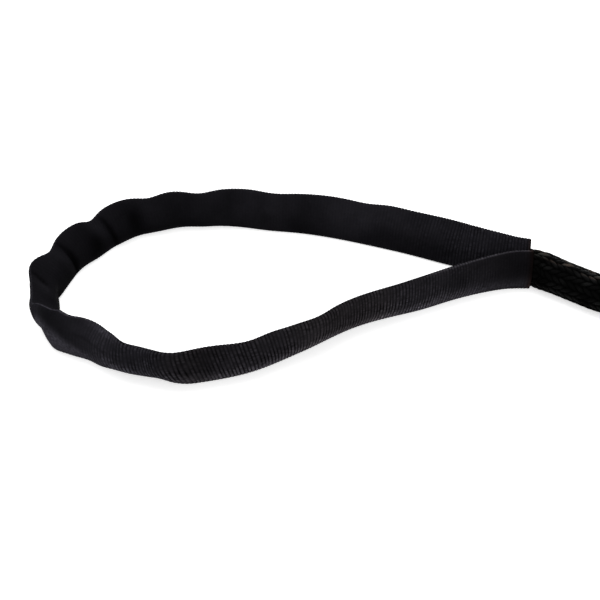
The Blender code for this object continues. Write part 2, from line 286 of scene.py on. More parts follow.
# Mesh rows fall on the same places of every crossing, so that the braid doesn't flicker along the rope
def crossingRows(length, radiusAt, fineEnd):
    reach = np.linspace(0, length, 6000)
    pitch = math.tau * radiusAt(reach) / rope["strands"] / math.tan(rope["braidAngle"])
    k = np.concatenate([[0], np.cumsum(np.diff(reach) * 2 / (pitch[1:] + pitch[:-1]))])
    turn = math.floor(np.interp(fineEnd, reach, k) / 4) * 4
    fine = np.arange(0, turn, 1 / rope["fineRows"])
    coarse = np.arange(turn, k[-1], 1 / rope["coarseRows"])
    rows = np.concatenate([fine, coarse[:-1], [k[-1]]])
    return np.interp(rows, k, reach), rows, len(fine)


# A braid along its middle line: flat and tall are shares of its radius, relief a share of the strands' own
def braidedTube(name, centre, k, fineCount, radius, side, top, flat, relief, material, tall=1.0):
    columns = rope["around"] + 1
    places = np.tile(np.arange(columns), (len(centre), 1))
    places[fineCount + 1:] = places[fineCount + 1:] // 2 * 2
    q = places * rope["strands"] / rope["around"]
    angle = math.tau * places / rope["around"]
    rows = np.repeat(k[:, None], columns, 1)
    height = braidHeight(q, rows) - rope["crown"] - rope["lift"] + rope["proud"]
    out = radius[:, None] + height * relief
    across = np.cos(angle) * out * flat[:, None]
    rise = np.sin(angle) * out * np.reshape(tall, (-1, 1))
    points = centre[:, None] + side[:, None] * across[:, :, None] + top[:, None] * rise[:, :, None]
    uv = np.stack([q, rows], 2)
    # a low dome closes each end
    caps = []
    for row, nextRow, shares in ((0, 1, rope["capShares"]), (-1, -2, rope["capShares"][::-1])):
        heading = unit(centre[row] - centre[nextRow])
        dome = radius[row] * rope["capDome"]
        ring = np.outer(np.cos(angle[row]) * radius[row] * flat[row] * rope["capSize"], side[row])
        ring = ring + np.outer(np.sin(angle[row]) * radius[row] * rope["capSize"], top[row])
        caps.append((np.array([centre[row] + ring * s + heading * dome * (1 - s ** 2) for s in shares]),
                     np.full((len(shares), columns, 2), 0.5)))
    points = np.vstack([caps[0][0], points, caps[1][0]])
    uv = np.vstack([caps[0][1], uv, caps[1][1]])
    return rolledSheet(name, points, uv, material)


# Braided polyester: hard, slightly glossy strands; the light breaks up on each pick and dies between them
def braidMaterial():
    material, tree, shader = newMaterial("braidedPolyester")
    q, k = patternPlace(tree)
    less, more = (addNode(tree, "ShaderNodeMath", {0: q, 1: k}, operation=operation).outputs[0]
                  for operation in ("SUBTRACT", "ADD"))
    # how high the two strands that cross at a place are, and which of them lies on top
    turn = addNode(tree, "ShaderNodeMath", {0: q, 1: math.pi / 2, 2: -math.pi / 4}, operation="MULTIPLY_ADD")
    wave = addNode(tree, "ShaderNodeMath", {0: turn.outputs[0]}, operation="COSINE").outputs[0]
    heights = []
    for sloping, lift in ((less, 0.75), (more, -0.75)):
        apart = addNode(tree, "ShaderNodeMath", {0: sloping, 1: 1.0}, operation="PINGPONG").outputs[0]
        square = addNode(tree, "ShaderNodeMath", {0: apart, 1: apart}, operation="MULTIPLY").outputs[0]
        left = addNode(tree, "ShaderNodeMath", {0: 1.0, 1: square}, operation="SUBTRACT", use_clamp=True)
        crown = addNode(tree, "ShaderNodeMath", {0: left.outputs[0], 1: 0.5}, operation="POWER").outputs[0]
        heights.append(addNode(tree, "ShaderNodeMath", {0: wave, 1: lift, 2: crown},
                               operation="MULTIPLY_ADD").outputs[0])
    top, first = (addNode(tree, "ShaderNodeMath", dict(enumerate(heights)), operation=operation).outputs[0]
                  for operation in ("MAXIMUM", "GREATER_THAN"))
    # filaments lie along each strand, about six to its width
    lines = []
    for across, along in ((less, more), (more, less)):
        twist = addNode(tree, "ShaderNodeMath", {0: along, 1: 1.4}, operation="MULTIPLY").outputs[0]
        phase = addNode(tree, "ShaderNodeMath", {0: across, 1: math.tau * 3, 2: twist},
                        operation="MULTIPLY_ADD").outputs[0]
        lines.append(addNode(tree, "ShaderNodeMath", {0: phase}, operation="SINE").outputs[0])
    filament = addNode(tree, "ShaderNodeMix", {0: first, 2: lines[1], 3: lines[0]}, data_type="FLOAT")
    relief = addNode(tree, "ShaderNodeMath", {0: filament.outputs[0], 1: 0.16, 2: top},
                     operation="MULTIPLY_ADD").outputs[0]
    # each pick, which is what shows of a strand between two crossings, has a chance value of its own
    over = addNode(tree, "ShaderNodeMix", {0: first, 2: more, 3: less}, data_type="FLOAT").outputs[0]
    pick = addNode(tree, "ShaderNodeCombineXYZ")
    for axis, value, offset in ((0, over, 0.5), (1, q, 0.25)):
        count = addNode(tree, "ShaderNodeMath", {0: value, 1: 0.5, 2: offset}, operation="MULTIPLY_ADD")
        count = addNode(tree, "ShaderNodeMath", {0: count.outputs[0]}, operation="FLOOR").outputs[0]
        setInputs(tree, pick, {axis: count})
    chance = addNode(tree, "ShaderNodeTexWhiteNoise", {"Vector": pick.outputs[0]},
                     noise_dimensions="2D").outputs[0]
    # painted highlight: the upper side is lighter, in grey and brown
    fromTop = addNode(tree, "ShaderNodeMath", {0: q, 1: rope["highlightAt"]}, operation="SUBTRACT").outputs[0]
    fromTop = addNode(tree, "ShaderNodeMath", {0: fromTop}, operation="ABSOLUTE").outputs[0]
    topward = addNode(tree, "ShaderNodeMapRange", {0: fromTop, 1: 3.0, 2: 1.8, 3: 0.0, 4: 1.0}).outputs[0]
    highlighted = addNode(tree, "ShaderNodeMapRange", {0: chance, 1: 0.35, 2: 0.8}).outputs[0]
    # painted shadow of the sleeve's mouth: the first 25 mm are darker
    mouthShadow = addNode(tree, "ShaderNodeMapRange", {0: k, 1: 0.0, 2: 11.0, 3: 0.55, 4: 1.15}).outputs[0]
    highlighted = addNode(tree, "ShaderNodeMath", {0: highlighted, 1: mouthShadow}, operation="MULTIPLY", use_clamp=True)
    highlighted = addNode(tree, "ShaderNodeMath", {0: topward, 1: highlighted.outputs[0]}, operation="MULTIPLY").outputs[0]
    spots = addNode(tree, "ShaderNodeTexCoord").outputs["Object"]
    dustAndMouthShadow = addNode(tree, "ShaderNodeTexNoise",
                    {"Vector": spots, "Scale": rope["dustScale"], "Detail": 1.0}).outputs[0]
    dustAndMouthShadow = addNode(tree, "ShaderNodeMapRange", {0: dustAndMouthShadow, 1: 0.42, 2: 0.58, 3: 0.2, 4: 1.35}).outputs[0]
    dustAndMouthShadow = addNode(tree, "ShaderNodeMath", {0: dustAndMouthShadow, 1: mouthShadow}, operation="MULTIPLY").outputs[0]
    paler = addNode(tree, "ShaderNodeMath", {0: chance, 1: dustAndMouthShadow}, operation="MULTIPLY", use_clamp=True)
    black, grey = (linear(colour) for colour in rope["darkColours"])
    plain = addNode(tree, "ShaderNodeMix", {0: paler.outputs[0], 6: black, 7: grey},
                    data_type="RGBA").outputs[2]
    tone = addNode(tree, "ShaderNodeTexNoise",
                   {"Vector": spots, "Scale": rope["tintAndRoughnessScale"], "Detail": 1.0}).outputs[0]
    brown = addNode(tree, "ShaderNodeMapRange", {0: tone, 1: 0.45, 2: 0.55}).outputs[0]
    greyer, browner = (linear(colour) for colour in rope["highlightColours"])
    highlightTint = addNode(tree, "ShaderNodeMix", {0: brown, 6: greyer, 7: browner}, data_type="RGBA").outputs[2]
    yarn = addNode(tree, "ShaderNodeMix", {0: highlighted, 6: plain, 7: highlightTint}, data_type="RGBA").outputs[2]
    # painted shade: the gaps between the strands darken to the gap colour
    shade = addNode(tree, "ShaderNodeMapRange", {0: top, 1: 0.85, 2: 1.5, 3: 0.0, 4: 1.0}).outputs[0]
    colour = addNode(tree, "ShaderNodeMix", {0: shade, 6: linear(rope["gapShadeColour"]), 7: yarn},
                     data_type="RGBA").outputs[2]
    smoothest, roughest = rope["roughness"]
    rough = addNode(tree, "ShaderNodeMapRange", {0: tone, 1: 0.3, 2: 0.7, 3: smoothest, 4: roughest})
    bumps = addNode(tree, "ShaderNodeBump",
                    {"Strength": 0.8, "Distance": rope["reliefDepth"], "Height": relief})
    # only the crowns of the strands shine, and less so down the sides
    shine = addNode(tree, "ShaderNodeMapRange", {0: top, 1: 1.0, 2: 1.6, 3: 0.0, 4: rope["shine"]}).outputs[0]
    upper = addNode(tree, "ShaderNodeMapRange", {0: fromTop, 1: 7.5, 2: 3.5, 3: 0.15, 4: 1.0}).outputs[0]
    for share in (upper, dustAndMouthShadow):
        shine = addNode(tree, "ShaderNodeMath", {0: shine, 1: share}, operation="MULTIPLY").outputs[0]
    setInputs(tree, shader, {"Base Color": colour, "Roughness": rough.outputs[0],
                             "Specular IOR Level": shine, "Normal": bumps.outputs[0]})
    return material


ropeMaterial = braidMaterial()
route = softened(ropeRoute())
routeLength = reachAlong(route)[-1]
places, crossings, fineCount = crossingRows(routeLength, ropeRadius, rope["fineEnd"])
centre = evenly(route, places)
tangent = unit(np.gradient(centre, places, axis=0))
# It leaves the mouth square to the sleeve's cut ends
tangent += (1 - smoothStep(places, *rope["flatReach"]))[:, None] * (np.array([1, 0, 0]) - tangent)
tangent = unit(tangent)
side = unit(np.cross(tangent, [0, 0, 1]))
top = np.cross(side, tangent)
radius = ropeRadius(places)
flat = rope["startFlat"] + (1 - rope["startFlat"]) * smoothStep(places, *rope["flatReach"])
tall = rope["startTall"] + (1 - rope["startTall"]) * smoothStep(places, *rope["tallReach"])
braid = braidedTube("braidedRope", centre, crossings, fineCount, radius, side, top, flat, 1.0,
                    ropeMaterial, tall)
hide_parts("splice_throat", "splice_cover", "buried_tail", "standing_rope", "rope_coil")
print("rope made,", round(routeLength, 3), "m")

# Sleeve: a flat woven tube on edge; most of its form is in the tables below
sleeve = {
    "length": 0.270,              # of the plan, and its breadth
    "across": 0.137,
    "middle": (-0.0301, -0.0030),
    "lean": math.radians(30),
    "width": 0.0254,
    "wall": 0.0011,
    "wing": 0.00125,              # half thickness where the two plies lie together
    "belly": 0.00475,             # half thickness over the rope
    "swell": 2.4,                 # how far the inner face bellies out round the bow, in mm
    "swellOutside": 0.4,          # the outer face's share of that
    "deepest": (-0.9, -0.3),      # how far in hollows may go, on the skin and in the bore, in mm
    "creaseLengths": (4.5, 1.2),  # how soon a crease fades out past its line and before it, in mm
    "roundReach": 0.0022,         # the folds take up this much of the height
    "rollAngle": math.radians(52),
    "rollStart": 0.78,            # height share above which the edge rolls in
    "kinkPlace": 0.4955,          # of the foot, on the left of the bow
    "kinkDepth": 0.0024,
    "kinkLengths": (0.006, 0.003),
    "ribDepth": 0.00017,
    "ribUneven": 0.13,
    "edgeCut": 0.0005,            # the skin is let down by this much, and flattened where it meets the floor
    "sidePoints": 19,             # mesh points up a face
    "foldStart": 0.989,           # height share where the upper fold turns over
    "boreStep": 0.004,            # from one mesh row of the bore to the next
    "boreShadeAndFinish": (0.4, 0.5, 1, 1),  # the bore has painted shade, as it lies inside the tube, and fainter ribs
    "girthRow": 200,              # the row on which the girth is measured
    "yarnStep": 0.55,             # in mm of the girth
    "fadingScale": 130.0,         # ribs fade and come back in patches of about 8 mm
    "cloudScale": 60.0,           # the cloth is cloudy in patches of about 17 mm
    "blotchScale": 650.0,         # and blotched, most where it is painted lightest, in ones of about 1.5 mm
    "browningScale": 22.0,        # it has browned in patches of about 45 mm
    "coolColour": "#1e1d21",
    "warmColour": "#1f1d1f",
    "heatColour": "#1c1413",
}
# The line that the sleeve's foot follows, as shares of the plan's length and breadth
plan = [
    (0.523, 0.146), (0.489, 0.153), (0.452, 0.171), (0.409, 0.193), (0.363, 0.224), (0.258, 0.322),
    (0.149, 0.397), (0.038, 0.455), (-0.074, 0.498), (-0.167, 0.512), (-0.241, 0.498),
    (-0.315, 0.447), (-0.366, 0.367), (-0.401, 0.291), (-0.433, 0.215), (-0.452, 0.112),
    (-0.464, 0.014), (-0.463, -0.073), (-0.459, -0.155), (-0.453, -0.222), (-0.451, -0.297),
    (-0.418, -0.334), (-0.373, -0.369), (-0.333, -0.407), (-0.294, -0.433), (-0.244, -0.458),
    (-0.198, -0.491), (-0.155, -0.489), (-0.060, -0.431), (0.038, -0.315), (0.140, -0.177),
    (0.245, -0.085), (0.353, 0.000), (0.418, 0.045), (0.462, 0.067), (0.490, 0.073), (0.523, 0.073),
]
# How far it leans outwards at each of these points, as a share of the lean above
leans = [
    0.20, 0.36, 0.56, 0.78, 0.90, 0.78, 0.60, 0.48, 0.34, 0.12, 0.12, 0.26, 0.46, 0.58, 0.66, 0.80,
    1.10, 1.05, 0.86, 0.76, -0.27, -0.20, -0.12, 0.25, 0.60, 0.62, 0.42, 0.24, 0.38, 0.42, 0.42,
    0.36, 0.17, 0.05, -0.06, -0.14, -0.15,
]
# Below, a place is a share of the way along the sleeve, from the end of its rear arm
# Distance from one rib to the next: place, pitch
ribPitches = [(0, 0.00183), (0.5, 0.00193), (0.86, 0.00193), (0.92, 0.00175)]
# Four mesh rows to a rib: the groove, a shoulder, the crown and the other shoulder, with their heights
ribProfile = [(0, -1.0), (0.17, 0.45), (0.5, 1.0), (0.83, 0.45)]
# Where something starts, is full, fades and ends
zones = {
    "swell": (0.20, 0.33, 0.60, 0.72),
    "roll": (0.566, 0.592, 0.606, 0.632),
    "innerFootLight": (0.28, 0.31, 0.43, 0.45),
    "diagonal": (0.535, 0.55, 0.562, 0.588),
    "rim": (0.53, 0.54, 0.585, 0.61),
    "crest": (0.572, 0.602, 0.604, 0.624),
}
# Where the upper edge is drawn down: place, depth in mm, width in mm
dips = [
    (0.153, 0.9, 10), (0.239, 1.2, 12), (0.312, 2.2, 10), (0.358, 2.4, 8), (0.4145, 3.0, 6.5),
    (0.4635, 2.6, 6.5), (0.496, 2.0, 6), (0.522, 2.6, 6), (0.597, 1.0, 14),
]
# Where the upper edge stands further out or in: place, outwards in mm, width in mm
nudges = [
    (0.075, 1.9, 20), (0.140, 1.4, 12), (0.190, 1.0, 14), (0.247, -1.0, 10), (0.313, -0.7, 9),
    (0.386, 1.2, 9), (0.481, 1.5, 6), (0.508, -0.8, 4), (0.5235, 1.5, 4), (0.632, -1.0, 7),
    (0.661, 0.8, 7), (0.700, -0.7, 9), (0.745, -1.3, 9), (0.789, 1.5, 10),
]
# The same for the lower edge
footNudges = [
    (0.125, -1.3, 32), (0.247, -1.4, 16), (0.310, -0.8, 8), (0.353, -0.9, 10), (0.428, -1.1, 12),
    (0.599, 0.9, 6), (0.654, -0.6, 5), (0.895, 1.3, 16),
]
# Sharp creases down the inner face: place at the foot, place at the top, foot, top, depth in mm
creases = [
    (0.398, 0.4075, 0.00, 0.95, 3.4), (0.4515, 0.4555, 0.00, 1.00, 3.4),
    (0.5005, 0.4895, 0.68, 1.0, 2.0),
]
# Soft hollows of the inner face: place, height, length in mm, height share, depth in mm
hollows = [
    (0.409, 0.25, 7, 0.45, 2.0), (0.374, 0.40, 7, 0.35, 2.0), (0.331, 0.40, 8, 0.40, 1.5),
    (0.466, 0.30, 5, 0.35, 0.8), (0.290, 0.40, 9, 0.40, 0.6),
]
# Painted shadows on the inner face: place, height, length in mm, height share, how dark
shadows = [
    (0.421, 0.40, 6.5, 0.38, 0.8), (0.377, 0.50, 6.5, 0.34, 0.68), (0.334, 0.50, 9, 0.30, 0.30),
    (0.468, 0.25, 4, 0.30, 0.3), (0.256, 0.40, 8, 0.25, 0.20),
]
# How strong the painted highlight along the upper fold is, along the sleeve
foldHighlights = [
    (0, 1.3), (0.53, 1.3), (0.545, 3.6), (0.575, 3.0), (0.59, 1.8), (0.61, 2.2), (0.63, 1.2),
    (0.66, 1.0), (0.89, 1.0), (0.92, 3.2), (1, 2.6),
]
# How plainly the ribs show: place, inner face, outer face
ribShow = [
    (0, 0.50, 0.9), (0.06, 0.45, 0.9), (0.10, 0.20, 0.8), (0.16, 0.06, 0.6), (0.30, 0.04, 0.6),
    (0.50, 0.06, 0.5), (0.56, 0.06, 0.04), (0.585, 0.2, 0.15), (0.61, 0.5, 0.6), (0.65, 0.6, 0.88),
    (0.86, 0.7, 0.86), (0.93, 0.8, 0.6), (0.97, 0.5, 0.2), (1, 0.4, 0.2),
]
# Painted light and shade along the sleeve: place, outer face, inner face
shadeShares = [
    (0, 0.95, 0.9), (0.045, 1, 0.95), (0.09, 1, 0.8), (0.12, 1, 0.8), (0.145, 1, 0.9), (0.168, 1, 1.0),
    (0.19, 1, 0.80), (0.215, 1, 0.53), (0.24, 1, 0.76), (0.263, 1, 0.82), (0.282, 1, 0.62),
    (0.30, 1, 0.58), (0.36, 1, 0.52), (0.395, 1, 0.5), (0.425, 1, 0.5), (0.46, 1, 0.46),
    (0.50, 1, 0.44), (0.53, 1, 0.52), (0.56, 0.95, 0.7), (0.59, 1, 0.9), (0.605, 1.35, 0.9),
    (0.63, 0.95, 0.9), (0.66, 0.74, 0.9), (0.69, 0.76, 1), (0.718, 1.1, 1), (0.755, 1.1, 1),
    (0.79, 1.22, 1), (0.831, 1.1, 1), (0.872, 1.25, 1), (0.92, 1.05, 1), (0.953, 0.68, 1),
    (0.978, 0.45, 1), (1, 0.36, 0.9),
]
# Painted shade at the foot of the inner face: how light it is there, as a share of its upper part
footShades = [
    (0.06, 0.85), (0.10, 0.65), (0.14, 0.6), (0.18, 0.55), (0.225, 0.65), (0.24, 0.75), (0.30, 0.6),
    (0.32, 0.42),
]
# The height from which the painted shade on the inner face lifts
footTops = [(0.145, 0.3), (0.16, 0.05)]
# How high the painted reflection at the foot of the bow's outer face reaches
rimTops = [(0.545, 0.55), (0.585, 0.22)]
# How broad the stripe of painted floor reflection low on the outer face is
floorReflectionWidths = [(0.60, 0.34), (0.65, 0.32), (0.68, 0.22), (0.88, 0.19), (0.91, 0.24), (0.96, 0.22)]
# How far the ribs lean along the sleeve: place, millimetres along for each millimetre up
slants = [
    (0, 0), (0.05, 0.02), (0.20, 0.05), (0.45, 0.0), (0.58, 0.0), (0.64, -0.10), (0.69, -0.26),
    (0.73, -0.22), (0.78, -0.10), (0.85, 0.0), (0.93, 0.06), (0.98, 0.02), (1, 0),
]


# Reads a column of a table whose first column is the place
def readTable(table, s, column=1):
    return np.interp(s, [row[0] for row in table], [row[column] for row in table])


def sumBumps(table, s, length):
    return sum(size / 1000 * bump(s * length, at * length, width / 1000) for at, size, width in table)


def sumPatches(table, s, height, length):
    return sum(depth * bump(s * length, at * length, long / 1000) * bump(height, up, tallShare)
               for at, up, long, tallShare, depth in table)


def sleevePlan():
    middle = sleeve["middle"]
    points = [((x + middle[0]) * sleeve["length"], (y + middle[1]) * sleeve["across"], lean * sleeve["lean"])
              for (x, y), lean in zip(plan, leans)]
    return smoothRoute(points, 1200)


# Where the sleeve's foot is on the floor, how far the sleeve leans there, and the way outwards
def onPlan(where, places, route):
    x, y, lean = (np.interp(where, places, route[:, i]) for i in range(3))
    ahead = np.gradient(route[:, :2], places, axis=0)
    ax, ay = (np.interp(where, places, ahead[:, i]) for i in range(2))
    size = np.hypot(ax, ay)
    return x, y, lean, ay / size, -ax / size


def ribRows(length):
    share = np.linspace(0, 1, 400)
    pitch = readTable(ribPitches, share)
    phase = np.concatenate([[0], np.cumsum((1 / pitch[1:] + 1 / pitch[:-1]) / 2 * np.diff(share) * length)])
    ribs = round(phase[-1])
    phase *= ribs / phase[-1]
    steps = (np.arange(ribs)[:, None] + np.array([step for step, _ in ribProfile])).ravel()
    steps = np.append(steps, ribs)
    heights = np.append(np.tile([height for _, height in ribProfile], ribs), ribProfile[0][1])
    uneven = np.random.default_rng(7).uniform(-1, 1, ribs + 1) * sleeve["ribUneven"]
    uneven[[0, -1]] = 0
    moved = np.interp(steps, np.arange(ribs + 1), np.arange(ribs + 1) + uneven)
    return np.interp(moved, phase, share * length), steps, heights


# The section, from the lower fold up the inner face (-1) and down the outer one (1), closer at the folds
def sectionShares():
    t = np.linspace(0, 1, sleeve["sidePoints"])
    rise = (1 - np.cos(np.pi * t)) / 2 * 0.6 + t * 0.4
    rise = np.insert(rise, -1, sleeve["foldStart"])
    height = np.concatenate([rise[:-1], rise[::-1][:-1], [rise[0]]])
    hand = np.concatenate([-np.ones(len(rise) - 1), np.ones(len(rise))])
    hand[[0, len(rise) - 1, -1]] = 0
    return height[None, :], hand[None, :]


# How deep the inner face is creased and hollowed, in mm, and the painted shade and painted light that go with
# it: painted shadows in patches and along the creases, painted light on the flank behind each crease
def innerCreases(s, height, length):
    dents = sumPatches(hollows, s, height, length)
    # painted shadows in patches, with more along each crease below
    dark = sumPatches(shadows, s, height, length)
    light = 0
    behind, before = sleeve["creaseLengths"]
    for foot, head, start, end, depth in creases:
        line = foot + (head - foot) * (height - start) / (end - start)
        off = (s - line) * length * 1000
        fade = plateau(height, start - 0.12, start + 0.12, end - 0.1, end + 0.15)
        dents = dents + depth * np.where(off > 0, np.exp(-off / behind), np.exp(off / before)) * fade
        # painted shade along each crease, and painted light on the flank behind it
        strength = 0.8 * fade * (1 - 0.45 * (1 - start) * height)
        dark = dark + strength * bump(off, -0.5, 1.2 + 0.6 * (1 - height)) * min(1, depth / 2.4)
        light = light + 0.5 * fade * bump(off, 5, 4)
    return dents, dark, light


# Painted light and shade of the cloth: painted shade in the creases, the dark patches and at the foot of the
# inner face, painted highlights on the upper fold and the crest, and painted reflections low on the faces and
# on the rim of the bow
def paintedLightAndShade(s, height, hand, dark, light, roll):
    # painted shade: the foot of the inner face is darker
    low = readTable(footShades, s)
    risen = smoothStep(height, readTable(footTops, s), 0.7)
    inside = (1 + light) * np.clip(1 - dark, 0.12, 1) * (low + (1 - low) * risen)
    # painted light along part of the inner face's foot
    inside = inside * (1 + 4 * plateau(s, *zones["innerFootLight"]) * bump(height, 0, 0.08))
    # a darker diagonal band across the outer face
    diagonal = plateau(s, *zones["diagonal"]) * bump(height, 0.90 - (s - 0.545) * 10, 0.28)
    # painted reflection on the foot of the bow's outer face
    rimTop = readTable(rimTops, s)
    rim = plateau(s, *zones["rim"]) * (1 - smoothStep(height, rimTop, rimTop + 0.25))
    # painted highlight just under the upper edge where it rolls in
    crest = plateau(s, *zones["crest"]) * smoothStep(height, 0.93, 0.985)
    # with painted shade in the groove under the rolled edge
    outside = (1 - 0.5 * diagonal + 1.8 * rim + 0.7 * crest) * (1 - 0.35 * roll * bump(height, 0.73, 0.03))
    # painted reflection of the floor in a stripe low on the outer face
    floorReflection = smoothStep(s, 0.595, 0.625) * bump(height, 0.15, readTable(floorReflectionWidths, s))
    outside = outside * (1 + 3.4 * floorReflection)
    tone = np.where(hand < 0, inside * readTable(shadeShares, s, 2), outside * readTable(shadeShares, s))
    # the upper fold takes its painted highlight
    return np.where((hand == 0) & (height > 0.5), readTable(foldHighlights, s), tone)


def sleeveSkin(along, ribHeight, inset, route, places):
    length = places[-1]
    height, hand = sectionShares()
    slant = readTable(slants, along[:, None] / length)
    where = along[:, None] + slant * (height - 0.5) * sleeve["width"]
    where = np.clip(where, 0, length)
    s = where / length
    x, y, lean, ox, oy = onPlan(where, places, route)
    tall = sleeve["width"] - sumBumps(dips, s, length)
    edge = inset * 1.6  # the bore keeps further from the folds than from the faces
    low, high = edge, tall - edge
    rise = low + (high - low) * height
    # The rope fills the section, and round the bow the inner face swells between its creases
    dents, dark, light = innerCreases(s, height, length)
    swell = np.sin(np.pi * height)
    pillow = plateau(s, *zones["swell"]) * sleeve["swell"]
    inner = np.maximum(pillow - dents, sleeve["deepest"][1 if inset else 0]) / 1000 * swell
    outer = pillow * sleeve["swellOutside"] / 1000 * swell
    half = sleeve["wing"] + (sleeve["belly"] - sleeve["wing"]) * swell ** 0.9
    half = half + np.where(hand < 0, inner, outer) - inset
    near = np.minimum(rise - low, high - rise)
    half = half * np.sqrt(np.clip(1 - (1 - np.clip(near / sleeve["wing"], 0, 1)) ** 2, 0, 1))
    reach = hand * half
    # The ribs stand out from the skin, and a little more round the folds, where they show as beads
    fold = 1 - np.clip(near / sleeve["roundReach"], 0, 1)
    outerShow = readTable(ribShow, s, 2) * (1 - 0.4 * smoothStep(height, 0.45, 0.85))
    show = np.where(hand < 0, readTable(ribShow, s), outerShow)
    rib = ribHeight[:, None] * sleeve["ribDepth"] * (0.1 + 0.9 * show + 0.6 * fold)
    reach = reach + hand * rib * (1 - fold)
    rise = rise + np.where(height > 0.5, 1, -1) * rib * fold
    # Round the front of the bow the upper edge rolls in over the rope, with a shallow groove below it outside
    roll = plateau(s, *zones["roll"])
    over = np.maximum(rise - sleeve["rollStart"] * tall, 0)
    turned = roll * sleeve["rollAngle"]
    rise = rise - over * (1 - np.cos(turned))
    groove = 0.0004 * roll * bump(rise, 0.775 * tall, 0.0006) * (hand > 0)
    reach = reach - over * np.sin(turned) - groove
    # The foot has a kink on the left of the bow, and both edges bend in and out
    off = (s - sleeve["kinkPlace"]) * length
    kink = sleeve["kinkDepth"] * bump(off, 0, np.where(off < 0, *sleeve["kinkLengths"]))
    kink = kink * (1 - smoothStep(height, 0.1, 0.5))
    upper = sumBumps(nudges, s, length) * smoothStep(height, 0.35, 0.9)
    lower = sumBumps(footNudges, s, length) * (1 - smoothStep(height, 0.05, 0.4))
    out = np.sin(lean) * rise + np.cos(lean) * reach + (kink + upper + lower)
    up = np.maximum(np.cos(lean) * rise - np.sin(lean) * reach - sleeve["edgeCut"], 0)
    # The attribute holds a quarter of the painted light and shade, how plainly the ribs show, the heat-cut
    # ends and the browner cloth in front
    tone = paintedLightAndShade(s, height, hand, dark, light, roll)
    heat = bump(s * length, length, 0.0024) + bump(s * length, 0, 0.0014)
    warm = smoothStep(s, 0.645, 0.68) * (1 - 0.6 * smoothStep(s, 0.85, 0.88))
    return np.stack([x + ox * out, y + oy * out, up], 2), np.stack([tone / 4, show, heat, warm], 2)


